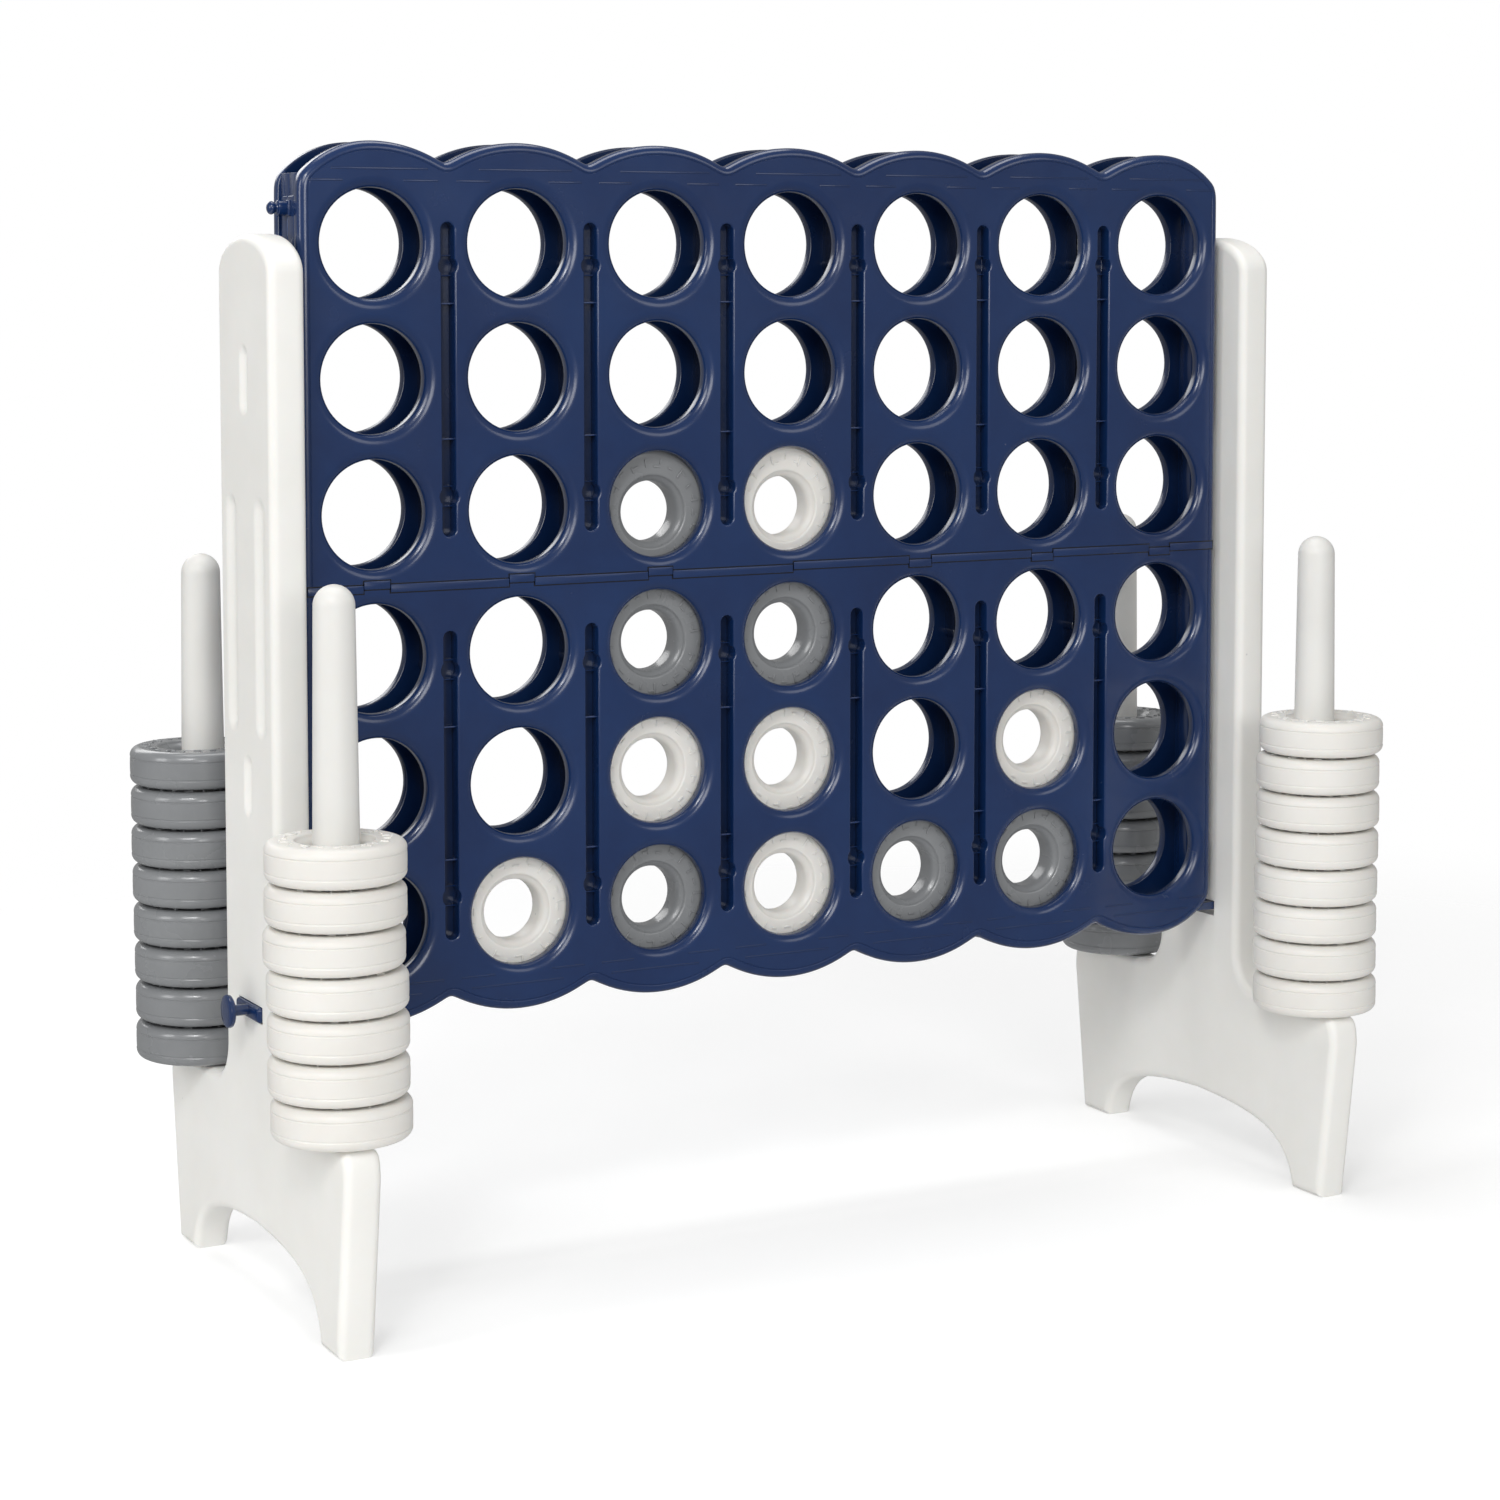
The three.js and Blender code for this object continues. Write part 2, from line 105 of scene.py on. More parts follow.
# ---- Mesh building -------------------------------------------------------------------------------
class Mesh:
    """Vertices and faces gathered in millimetres."""

    def __init__(self):
        self.verts = []
        self.faces = []

    def loop(self, points):
        start = len(self.verts)
        self.verts += [tuple(p) for p in points]
        return list(range(start, start + len(points)))

    def strip(self, a, b, closed=True, flip=False):
        n = len(a)
        for i in range(n if closed else n - 1):
            j = (i + 1) % n
            quad = [a[i], a[j], b[j], b[i]]
            self.faces.append(quad[::-1] if flip else quad)

    def cap(self, ids, flip=False):
        self.faces.append(list(ids[::-1] if flip else ids))

    def loft(self, loops, closed=True, flip=False):
        for a, b in zip(loops, loops[1:]):
            self.strip(a, b, closed, flip)

    def add(self, other, matrix=None):
        start = len(self.verts)
        for v in other.verts:
            self.verts.append(tuple(matrix @ Vector(v)) if matrix else v)
        mirrored = matrix is not None and matrix.determinant() < 0
        for face in other.faces:
            ids = [start + i for i in face]
            self.faces.append(ids[::-1] if mirrored else ids)


def circle(cx, cy, radius, count, start=0.0):
    return [(cx + radius * math.cos(start + 2 * math.pi * i / count),
             cy + radius * math.sin(start + 2 * math.pi * i / count)) for i in range(count)]


def arc(cx, cy, radius, a0, a1, count):
    """count points from angle a0 to a1, in degrees, both ends included."""
    out = []
    for i in range(count):
        a = math.radians(a0 + (a1 - a0) * i / (count - 1))
        out.append((cx + radius * math.cos(a), cy + radius * math.sin(a)))
    return out


def bezier(p0, p1, p2, count):
    out = []
    for i in range(count):
        t = i / (count - 1)
        out.append(tuple((1 - t) ** 2 * a + 2 * t * (1 - t) * b + t * t * c
                         for a, b, c in zip(p0, p1, p2)))
    return out


def cubic(p0, p1, p2, p3, count):
    out = []
    for i in range(count):
        t = i / (count - 1)
        out.append(tuple((1 - t) ** 3 * a + 3 * t * (1 - t) ** 2 * b + 3 * t * t * (1 - t) * c + t ** 3 * d
                         for a, b, c, d in zip(p0, p1, p2, p3)))
    return out


def tidy(points, closed):
    out = [points[0]]
    for p in points[1:]:
        if math.dist(p, out[-1]) > 0.05:
            out.append(p)
    if closed and math.dist(out[0], out[-1]) < 0.05:
        out.pop()
    return out


def resample(points, step):
    """Keeps corners, and splits straight runs so that no edge is longer than step."""
    out = []
    for a, b in zip(points, points[1:]):
        n = max(1, math.ceil(math.dist(a, b) / step))
        out += [(a[0] + (b[0] - a[0]) * i / n, a[1] + (b[1] - a[1]) * i / n) for i in range(n)]
    return out + [points[-1]]


def normals(points, closed):
    """Outward mitre normals of a counter-clockwise outline: p - n * d is inset by d."""
    n = len(points)
    out = []
    for i in range(n):
        before = points[i - 1] if closed or i else None
        after = points[(i + 1) % n] if closed or i < n - 1 else None
        sides = []
        for a, b in ((before, points[i]), (points[i], after)):
            if a is None or b is None:
                continue
            length = math.dist(a, b)
            sides.append(((b[1] - a[1]) / length, -(b[0] - a[0]) / length))
        if len(sides) == 1:
            out.append(sides[0])
            continue
        (ax, ay), (bx, by) = sides
        k = 1 + ax * bx + ay * by
        out.append(((ax + bx) / k, (ay + by) / k))
    return out


def inset(points, ns, d):
    return [(p[0] - n[0] * d, p[1] - n[1] * d) for p, n in zip(points, ns)]


def in_polygon(x, y, polygon):
    inside = False
    for (ax, ay), (bx, by) in zip(polygon, polygon[1:] + polygon[:1]):
        if (ay > y) != (by > y) and x < (bx - ax) * (y - ay) / (by - ay) + ax:
            inside = not inside
    return inside


def fill_flat(mesh, outer, holes, up=True):
    """Triangulates the flat face between an outer loop of vertex ids and the loops of its holes."""
    ids, edges, coords, polygons = [], [], [], []
    for loop in [outer] + holes:
        start = len(ids)
        ids += loop
        coords += [Vector(mesh.verts[i][:2]) for i in loop]
        edges += [(start + i, start + (i + 1) % len(loop)) for i in range(len(loop))]
        flat = [mesh.verts[i][:2] for i in loop]
        xs, ys = zip(*flat)
        polygons.append((min(xs), max(xs), min(ys), max(ys), flat))
    verts, _, faces, origin, _, _ = delaunay_2d_cdt(coords, edges, [], 1, 1e-4)
    back = [ids[o[0]] for o in origin]
    for face in faces:
        cx = sum(verts[i].x for i in face) / 3
        cy = sum(verts[i].y for i in face) / 3
        hits = [in_polygon(cx, cy, flat) for x0, x1, y0, y1, flat in polygons
                if x0 <= cx <= x1 and y0 <= cy <= y1]
        if sum(hits) != 1:
            continue
        a, b, c = (verts[i] for i in face)
        ccw = (b.x - a.x) * (c.y - a.y) - (b.y - a.y) * (c.x - a.x) > 0
        triangle = [back[i] for i in face]
        mesh.faces.append(triangle if ccw == up else triangle[::-1])


def quarter(radius, steps=6):
    """(inset, rise) pairs of a quarter round, from the wall to the face."""
    return [(radius * (1 - math.cos(math.pi / 2 * i / steps)), radius * math.sin(math.pi / 2 * i / steps))
            for i in range(steps + 1)]


def soft_box(lo, hi, radius=0.8, steps=2):
    """A closed box whose twelve edges are rounded."""
    mesh = Mesh()
    radius = min([radius] + [(h - l) / 2.05 for l, h in zip(lo, hi)])
    outline = []
    for cx, cy, a in ((hi[0], hi[1], 0), (lo[0], hi[1], 90), (lo[0], lo[1], 180), (hi[0], lo[1], 270)):
        x = cx - radius if cx == hi[0] else cx + radius
        y = cy - radius if cy == hi[1] else cy + radius
        outline += arc(x, y, radius, a, a + 90, steps + 1)
    outline = tidy(outline, True)
    ns = normals(outline, True)
    rows = [(d, lo[2] + radius - r) for d, r in quarter(radius, steps)[::-1]]
    rows += [(d, hi[2] - radius + r) for d, r in quarter(radius, steps)]
    loops = []
    for d, z in rows:
        loops.append(mesh.loop([(x, y, z) for x, y in inset(outline, ns, min(d, radius * 0.999))]))
    mesh.loft(loops)
    mesh.cap(loops[0], flip=True)
    mesh.cap(loops[-1])
    return mesh


def turned(profile, count, closed_profile=False):
    """A solid of revolution about Z. The profile is (radius, height), from the bottom up the outside."""
    mesh = Mesh()
    loops = []
    for radius, height in profile:
        if radius < 1e-6:
            loops.append([len(mesh.verts)])
            mesh.verts.append((0, 0, height))
        else:
            loops.append(mesh.loop([(x, y, height) for x, y in circle(0, 0, radius, count)]))
    pairs = list(zip(loops, loops[1:])) + ([(loops[-1], loops[0])] if closed_profile else [])
    for a, b in pairs:
        if len(a) == 1 and len(b) == 1:
            continue
        if len(a) == 1:
            mesh.faces += [[a[0], b[(i + 1) % count], b[i]] for i in range(count)]
        elif len(b) == 1:
            mesh.faces += [[a[i], a[(i + 1) % count], b[0]] for i in range(count)]
        else:
            mesh.strip(a, b)
    return mesh


SHARP_ANGLE = math.radians(32)


def make_piece(name, mesh, material, body, replaces, matrix=None):
    data = bpy.data.meshes.new(name)
    place = matrix or Matrix.Identity(4)
    verts = [place @ Vector(v) * MM for v in mesh.verts]
    data.from_pydata(verts, [], mesh.faces)
    data.materials.append(material)
    data.polygons.foreach_set("use_smooth", [True] * len(data.polygons))
    data.set_sharp_from_angle(angle=SHARP_ANGLE)
    data.update()
    piece = bpy.data.objects.new(name, data)
    bpy.context.scene.collection.objects.link(piece)
    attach(piece, body)
    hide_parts(*replaces)
    return piece


# ---- Materials -----------------------------------------------------------------------------------
def new_material(name):
    material = bpy.data.materials.new(name)
    material.use_nodes = True
    nodes = material.node_tree.nodes
    nodes.clear()
    out = nodes.new("ShaderNodeOutputMaterial")
    shader = nodes.new("ShaderNodeBsdfPrincipled")
    material.node_tree.links.new(shader.outputs[0], out.inputs[0])
    return material, shader


def srgb(r, g, b):
    def lin(c):
        c /= 255
        return c / 12.92 if c <= 0.04045 else ((c + 0.055) / 1.055) ** 2.4
    return (lin(r), lin(g), lin(b), 1)


def painted_hollow_shade(tree, where):
    """Painted shade: 1 on the outside of the board, less in its holes, grooves and seam gaps, where little
    light gets in.

    The seam gaps are the thin plates round the seam bars, coloured near black as painted shade. They stand
    GAP_PROUD past the face.
    """
    def node(kind, **settings):
        made = tree.nodes.new(kind)
        for key, value in settings.items():
            setattr(made, key, value)
        return made

    def ramp(value, low, high, start, end):
        made = node("ShaderNodeMapRange")
        for key, number in (("From Min", low), ("From Max", high), ("To Min", start), ("To Max", end)):
            made.inputs[key].default_value = number
        tree.links.new(value, made.inputs["Value"])
        return made.outputs[0]

    def combine(operation, *values):
        made = node("ShaderNodeMath", operation=operation)
        for socket, value in zip(made.inputs, values):
            tree.links.new(value, socket)
        return made.outputs[0]

    split = node("ShaderNodeSeparateXYZ")
    tree.links.new(where, split.inputs[0])
    along, depth = (combine("ABSOLUTE", split.outputs[i]) for i in (0, 1))
    # Painted shade: the colour darkens with depth into the holes and grooves, down to 0.3.
    inside = ramp(depth, (FACE_Y - 22) * MM, (FACE_Y - 5) * MM, 0.3, 1.0)
    # Near the board's ends the depth darkening is left off.
    ends = ramp(along, (BOARD_HALF_WIDTH - 10) * MM, (BOARD_HALF_WIDTH - 7) * MM, 0.0, 1.0)
    open_sides = combine("MAXIMUM", inside, ends)
    # Painted shade: the top faces of the seam gap plates are darkened to 0.12.
    below = ramp(depth, (FACE_Y + GAP_PROUD - 0.05) * MM, (FACE_Y + GAP_PROUD - 0.03) * MM, 1.0, 0.12)
    above = ramp(depth, (FACE_Y + GAP_PROUD + 0.02) * MM, (FACE_Y + GAP_PROUD + 0.04) * MM, 0.0, 1.0)
    return combine("MULTIPLY", open_sides, combine("MAXIMUM", below, above))


def plastic(name, dark, light, rough, rough_spread, bump, coat=0.0, subsurface=0.0, painted_shade=False):
    """Moulded plastic: faint cloudy colour, uneven gloss, fine grain and a few specks. It can also carry
    painted shade in the board's hollows and seam gap plates.
    """
    material, shader = new_material(name)
    tree = material.node_tree
    new, link = tree.nodes.new, tree.links.new
    where = new("ShaderNodeTexCoord").outputs["Object"]

    cloud = new("ShaderNodeTexNoise")
    cloud.inputs["Scale"].default_value = 7
    cloud.inputs["Detail"].default_value = 5
    cloud.inputs["Roughness"].default_value = 0.6
    link(where, cloud.inputs["Vector"])
    ramp = new("ShaderNodeValToRGB")
    ramp.color_ramp.elements[0].position = 0.3
    ramp.color_ramp.elements[0].color = dark
    ramp.color_ramp.elements[1].position = 0.7
    ramp.color_ramp.elements[1].color = light
    link(cloud.outputs["Fac"], ramp.inputs["Fac"])
    colour = ramp.outputs["Color"]

    specks = new("ShaderNodeTexVoronoi")
    specks.inputs["Scale"].default_value = 16
    link(where, specks.inputs["Vector"])
    near = new("ShaderNodeMapRange")
    near.inputs["From Min"].default_value = 0.010
    near.inputs["From Max"].default_value = 0.022
    near.inputs["To Min"].default_value = 0.35
    near.inputs["To Max"].default_value = 0.0
    link(specks.outputs["Distance"], near.inputs["Value"])
    dusted = new("ShaderNodeMix")
    dusted.data_type = "RGBA"
    link(near.outputs[0], dusted.inputs["Factor"])
    link(colour, dusted.inputs[6])
    dusted.inputs[7].default_value = srgb(150, 152, 160)
    colour = dusted.outputs[2]
    # Painted shade: the colour is darkened in the board's holes, grooves and seam gap plates.
    if painted_shade:
        shade = new("ShaderNodeVectorMath")
        shade.operation = "SCALE"
        link(colour, shade.inputs[0])
        link(painted_hollow_shade(tree, where), shade.inputs["Scale"])
        colour = shade.outputs[0]
    link(colour, shader.inputs["Base Color"])

    sheen = new("ShaderNodeTexNoise")
    sheen.inputs["Scale"].default_value = 22
    sheen.inputs["Detail"].default_value = 6
    link(where, sheen.inputs["Vector"])
    spread = new("ShaderNodeMapRange")
    spread.inputs["From Min"].default_value = 0.3
    spread.inputs["From Max"].default_value = 0.7
    spread.inputs["To Min"].default_value = rough - rough_spread
    spread.inputs["To Max"].default_value = rough + rough_spread
    link(sheen.outputs["Fac"], spread.inputs["Value"])
    link(spread.outputs[0], shader.inputs["Roughness"])

    grain = new("ShaderNodeTexNoise")
    grain.inputs["Scale"].default_value = 900
    grain.inputs["Detail"].default_value = 2
    link(where, grain.inputs["Vector"])
    wave = new("ShaderNodeTexNoise")
    wave.inputs["Scale"].default_value = 14
    wave.inputs["Detail"].default_value = 1
    link(where, wave.inputs["Vector"])
    fine = new("ShaderNodeBump")
    fine.inputs["Strength"].default_value = bump
    fine.inputs["Distance"].default_value = 0.0002
    link(grain.outputs["Fac"], fine.inputs["Height"])
    slow = new("ShaderNodeBump")
    slow.inputs["Strength"].default_value = 0.12
    slow.inputs["Distance"].default_value = 0.003
    link(wave.outputs["Fac"], slow.inputs["Height"])
    link(fine.outputs["Normal"], slow.inputs["Normal"])
    link(slow.outputs["Normal"], shader.inputs["Normal"])
    shader.inputs["IOR"].default_value = 1.5
    shader.inputs["Coat Weight"].default_value = coat
    shader.inputs["Coat Roughness"].default_value = 0.12
    if subsurface:
        shader.inputs["Subsurface Weight"].default_value = subsurface
        shader.inputs["Subsurface Radius"].default_value = (1.0, 0.7, 0.5)
        shader.inputs["Subsurface Scale"].default_value = 0.004
    return material


NAVY_LOOK = (srgb(13, 37, 79), srgb(19, 47, 92), 0.24, 0.04, 0.1)
NAVY = plastic("navy_plastic", *NAVY_LOOK, coat=0.3)
# The shells' navy, with painted shade in the board's hollows and seam gap plates.
SHADED_SHELL_NAVY = plastic("navy_shell_plastic", *NAVY_LOOK, coat=0.3, painted_shade=True)
WHITE = plastic("white_plastic", srgb(236, 235, 230), srgb(242, 241, 237), 0.45, 0.06, 0.2, subsurface=0.1)
# Painted shade: the posts are the legs' white plastic, coloured a little darker so they render dimmer.
POST_SHADED_WHITE = plastic("post_plastic", srgb(222, 221, 217), srgb(228, 227, 223), 0.45, 0.06, 0.2,
                     subsurface=0.1)
WHITE_RING = plastic("white_ring_plastic", srgb(226, 223, 217), srgb(234, 232, 227), 0.42, 0.06, 0.2,
                     subsurface=0.15)
GREY_RING = plastic("grey_ring_plastic", srgb(124, 126, 128), srgb(136, 138, 140), 0.26, 0.05, 0.12,
                    coat=0.3)

# ---- Board shells --------------------------------------------------------------------------------
# Drawn with X along the board, Y away from the seam and Z out from the middle plane.
EDGE_ROUND = 7
FLAT_MARGIN = 0.5


def shell_outline():
    """From the right end of the seam, over the scallops, to the left end of the seam."""
    angle = math.degrees(math.asin(CREST_REACH / CREST_RADIUS))
    end_angle = math.degrees(math.asin(END_REACH / END_RADIUS))
    centre_y = CREST - CREST_RADIUS
    edge_y = centre_y + math.sqrt(CREST_RADIUS ** 2 - CREST_REACH ** 2)
    end_y = CREST - END_RADIUS
    shoulder_y = end_y + END_RADIUS * math.cos(math.radians(end_angle))
    first, last = column_x(1), column_x(COLUMNS)
    points = [(BOARD_HALF_WIDTH, FIT_GAP / 2), (BOARD_HALF_WIDTH, CORNER_START)]
    points = resample(points, 20)
    points += bezier((BOARD_HALF_WIDTH, CORNER_START), (BOARD_HALF_WIDTH, CORNER_CONTROL),
                     (last + END_REACH, shoulder_y), 12)
    points += arc(last, end_y, END_RADIUS, 90 - end_angle, 90, 16)
    for column in range(COLUMNS, 1, -1):
        x = column_x(column)
        points += arc(x, centre_y, CREST_RADIUS, 90, 90 + angle, 14)
        points += bezier((x - CREST_REACH, edge_y), (x - COLUMN_PITCH / 2, VALLEY_CONTROL),
                         (x - COLUMN_PITCH + CREST_REACH, edge_y), 9)
        points += arc(x - COLUMN_PITCH, centre_y, CREST_RADIUS, 90 - angle, 90, 14)
    points += arc(first, end_y, END_RADIUS, 90, 90 + end_angle, 16)
    points += bezier((first - END_REACH, shoulder_y), (-BOARD_HALF_WIDTH, CORNER_CONTROL),
                     (-BOARD_HALF_WIDTH, CORNER_START), 12)
    points += resample([(-BOARD_HALF_WIDTH, CORNER_START), (-BOARD_HALF_WIDTH, FIT_GAP / 2)], 20)
    return tidy(points, False)


def smooth_line(points, rounds=3):
    """Eases the small changes of direction where two curves of the outline meet."""
    for _ in range(rounds):
        points = [points[0]] + [
            tuple((a + 2 * b + c) / 4 for a, b, c in zip(points[i - 1], points[i], points[i + 1]))
            for i in range(1, len(points) - 1)] + [points[-1]]
    return points


def slot_loop(x, grow):
    """A groove's outline, a round-ended bar with two round widenings for the screw bosses."""
    half, boss = SLOT_HALF + grow, BOSS_RADIUS + grow
    reach = math.degrees(math.acos(min(1.0, half / boss)))
    near, far = SLOT_NEAR + SLOT_HALF, SLOT_FAR - SLOT_HALF
    low, high = BOSS_PLACES
    points = arc(x, near, half, 180, 360, 17)
    points += arc(x, low, boss, -reach, reach, 9)
    points += arc(x, high, boss, -reach, reach, 9)
    points += arc(x, far, half, 0, 180, 17)
    points += arc(x, high, boss, 180 - reach, 180 + reach, 9)
    points += arc(x, low, boss, 180 - reach, 180 + reach, 9)
    return points


HOLES = [(column_x(c), SEAM_ROW_OFFSET + r * ROW_PITCH) for c in range(1, COLUMNS + 1) for r in range(3)]


def carved(mesh, lo, hi):
    """The closed mesh with a box cut out of it."""
    box = [(x, y, z) for z in (lo[2], hi[2]) for x, y in
           ((lo[0], lo[1]), (hi[0], lo[1]), (hi[0], hi[1]), (lo[0], hi[1]))]
    walls = [(3, 2, 1, 0), (4, 5, 6, 7)] + [(i, (i + 1) % 4, (i + 1) % 4 + 4, i + 4) for i in range(4)]
    parts = []
    for verts, faces in ((mesh.verts, mesh.faces), (box, walls)):
        data = bpy.data.meshes.new("carving")
        data.from_pydata(verts, [], faces)
        parts.append(bpy.data.objects.new("carving", data))
        bpy.context.scene.collection.objects.link(parts[-1])
    cut = parts[0].modifiers.new("cut", "BOOLEAN")
    cut.operation = "DIFFERENCE"
    cut.solver = "EXACT"
    cut.object = parts[1]
    done = parts[0].evaluated_get(bpy.context.evaluated_depsgraph_get()).to_mesh()
    out = Mesh()
    out.verts = [tuple(v.co) for v in done.vertices]
    out.faces = [list(face.vertices) for face in done.polygons]
    for part in parts:
        data = part.data
        bpy.data.objects.remove(part)
        bpy.data.meshes.remove(data)
    return out


def shell_mesh(with_groove):
    mesh = Mesh()
    outline = smooth_line(shell_outline())
    outline[0] = (BOARD_HALF_WIDTH, FIT_GAP / 2)
    outline[-1] = (-BOARD_HALF_WIDTH, FIT_GAP / 2)
    ns = normals(outline, False)
    ns[0], ns[-1] = (1, 0), (-1, 0)
    straight = FACE_Y - EDGE_ROUND
    back_round = 1.0
    rows = [(back_round + FLAT_MARGIN, INNER_Y), (back_round, INNER_Y), (0.3, INNER_Y + 0.3),
            (0, INNER_Y + back_round)]
    rows += [(d, straight + r) for d, r in quarter(EDGE_ROUND, 8)]
    # A hairline groove follows the rounded edge.
    rows += [(EDGE_ROUND + d, FACE_Y - depth) for d, depth in
             ((0.5, 0.02), (0.9, 0.25), (1.2, 0.6), (1.6, 0.6), (1.9, 0.2), (2.2, 0))]
    loops = [mesh.loop([(x, y, z) for x, y in inset(outline, ns, d)]) for d, z in rows]
    mesh.loft(loops, closed=False)
    seam = [loop[0] for loop in loops] + [loop[-1] for loop in loops[::-1]]
    mesh.cap(seam, flip=True)

    front_holes, back_holes = [], []
    hole_rows = [(HOLE_FLARE + FLAT_MARGIN, FACE_Y)]
    hole_rows += [(d * HOLE_FLARE / EDGE_ROUND, straight + r) for d, r in quarter(EDGE_ROUND, 10)[::-1]]
    hole_rows += [(0, INNER_Y + 0.8), (0.25, INNER_Y + 0.25), (0.8, INNER_Y), (1.2, INNER_Y)]
    for hx, hy in HOLES:
        rings = [mesh.loop([(x, y, z) for x, y in circle(hx, hy, HOLE_RADIUS + d, 72)])
                 for d, z in hole_rows]
        mesh.loft(rings, flip=True)
        front_holes.append(rings[0])
        back_holes.append(rings[-1])
    slot_round = 1.6
    slot_rows = [(slot_round + FLAT_MARGIN, FACE_Y)]
    slot_rows += [(d, FACE_Y - slot_round + r) for d, r in quarter(slot_round, 4)[::-1]]
    slot_rows += [(0, SLOT_FLOOR + 1), (-1, SLOT_FLOOR)]
    for gap in range(1, COLUMNS):
        x = divider_x(gap)
        rings = [mesh.loop([(px, py, z) for px, py in slot_loop(x, d)]) for d, z in slot_rows]
        mesh.loft(rings, flip=True)
        mesh.cap(rings[-1])
        front_holes.append(rings[0])
    fill_flat(mesh, loops[-1], front_holes, up=True)
    fill_flat(mesh, loops[0], back_holes, up=False)
    if with_groove:
        # The rails of the release slider run in this groove.
        mesh = carved(mesh, (-520, 370.7, INNER_Y - 1), (520, 379.3, 29.8))

    for gap in range(1, COLUMNS):
        x = divider_x(gap)
        for side in (-1, 1):
            a, b = sorted((x + side * 8, x + side * 6.8))
            mesh.add(soft_box((a, FIT_GAP / 2, FIT_GAP / 2), (b, DIVIDER_END, INNER_Y + 0.5), 0.4, 1))
        mesh.add(soft_box((x - 8, FIT_GAP / 2, FIT_GAP / 2),
                          (x + 8, DIVIDER_END, SLOT_FLOOR - 0.4), 0.4, 1))
        for y in (131, 253):
            mesh.add(soft_box((x - 7, y - 0.8, SLOT_FLOOR), (x + 7, y + 0.8, FACE_Y - 4), 0.5, 2))
        for y in (70, 88, 278, 296):
            mesh.add(soft_box((x - 7, y - 0.6, SLOT_FLOOR), (x + 7, y + 0.6, FACE_Y - 9), 0.4, 1))
        for y in BOSS_PLACES:
            bore = [(2.2, SLOT_FLOOR), (6, SLOT_FLOOR), (6, 17.5), (5.6, 18), (2.6, 18), (2.2, 17.6)]
            tube = turned(bore, 24, closed_profile=True)
            mesh.add(tube, Matrix.Translation((x, y, 0)))
    for side in (-1, 1):
        a, b = sorted((side * 489, side * 492))
        mesh.add(soft_box((a, FIT_GAP / 2, FIT_GAP / 2), (b, DIVIDER_END, INNER_Y + 1), 0.5, 2))
        a, b = sorted((side * 491, side * 494))
        mesh.add(soft_box((a, 12, 0.1), (b, 349, 16), 1.4, 4))
    centre_ribs = [(SEAM_ROW_OFFSET + 54.5, SEAM_ROW_OFFSET + ROW_PITCH - 54.5),
                   (SEAM_ROW_OFFSET + ROW_PITCH + 54.5, SEAM_ROW_OFFSET + 2 * ROW_PITCH - 54.5)]
    if not with_groove:
        centre_ribs.append((SEAM_ROW_OFFSET + 2 * ROW_PITCH + 54, CREST - 5))
    for column in range(1, COLUMNS + 1):
        x = column_x(column)
        for y0, y1 in centre_ribs:
            mesh.add(soft_box((x - 0.8, y0, INNER_Y - 1), (x + 0.8, y1, INNER_Y + 1), 0.3, 1))

    for column in range(1, COLUMNS + 1):
        x = column_x(column)
        for x0, x1, y in ((x - 40, x + 52, 373), (x - 62, x - 29, 362.5), (x + 29, x + 62, 362.5)):
            mesh.add(soft_box((x0, y - 0.9, FACE_Y - 0.6), (x1, y + 0.9, FACE_Y + 0.14), 0.3, 2))

    # Long strips on one half of the seam, and short tabs between the other shell's strips.
    start = 2 * FIT_GAP
    room = TAB_HALF + 2 * FIT_GAP
    bars = []
    for k in range(1, 5):
        end = min(k * COLUMN_PITCH - room, BOARD_HALF_WIDTH - 4)
        bars.append((start, end, -STRIP_LAP, STRIP_TOP))
        start = k * COLUMN_PITCH + room
    for k in range(1, 4):
        middle = -k * COLUMN_PITCH
        bars.append((middle - TAB_HALF, middle + TAB_HALF, -TAB_LAP, TAB_TOP))
    for x0, x1, y0, y1 in bars:
        # Painted shade: a thin plate round each bar, just proud of the face, is coloured near black to
        # stand for the shadow in the seam gap.
        mesh.add(soft_box((x0 - GAP_WIDTH, y0 - GAP_WIDTH, FACE_Y - 0.4),
                          (x1 + GAP_WIDTH, y1 + GAP_WIDTH, FACE_Y + GAP_PROUD), 0.02, 1))
        mesh.add(soft_box((x0, y0, FACE_Y + 0.2), (x1, y1, FACE_Y + 1.0), 0.4, 3))
        mesh.add(soft_box((x0 + 0.4, FIT_GAP / 2, FACE_Y - 1), (x1 - 0.4, y1 - 0.4, FACE_Y + 0.8), 0.3, 1))
    return mesh


shells = {"upper": shell_mesh(False), "lower": shell_mesh(True)}
stand = Matrix.Translation((0, 0, SEAM_Z)) @ Matrix.Rotation(math.pi / 2, 4, "X")
half_turn = {
    "front_upper_shell": Matrix.Identity(4),
    "front_lower_shell": Matrix.Rotation(math.pi, 4, "Z"),
    "back_upper_shell": Matrix.Rotation(math.pi, 4, "Y"),
    "back_lower_shell": Matrix.Rotation(math.pi, 4, "X"),
}
for name, turn in half_turn.items():
    make_piece(name + "_finish", shells[name.split("_")[1]], SHADED_SHELL_NAVY, "frame", [name],
               stand @ turn)

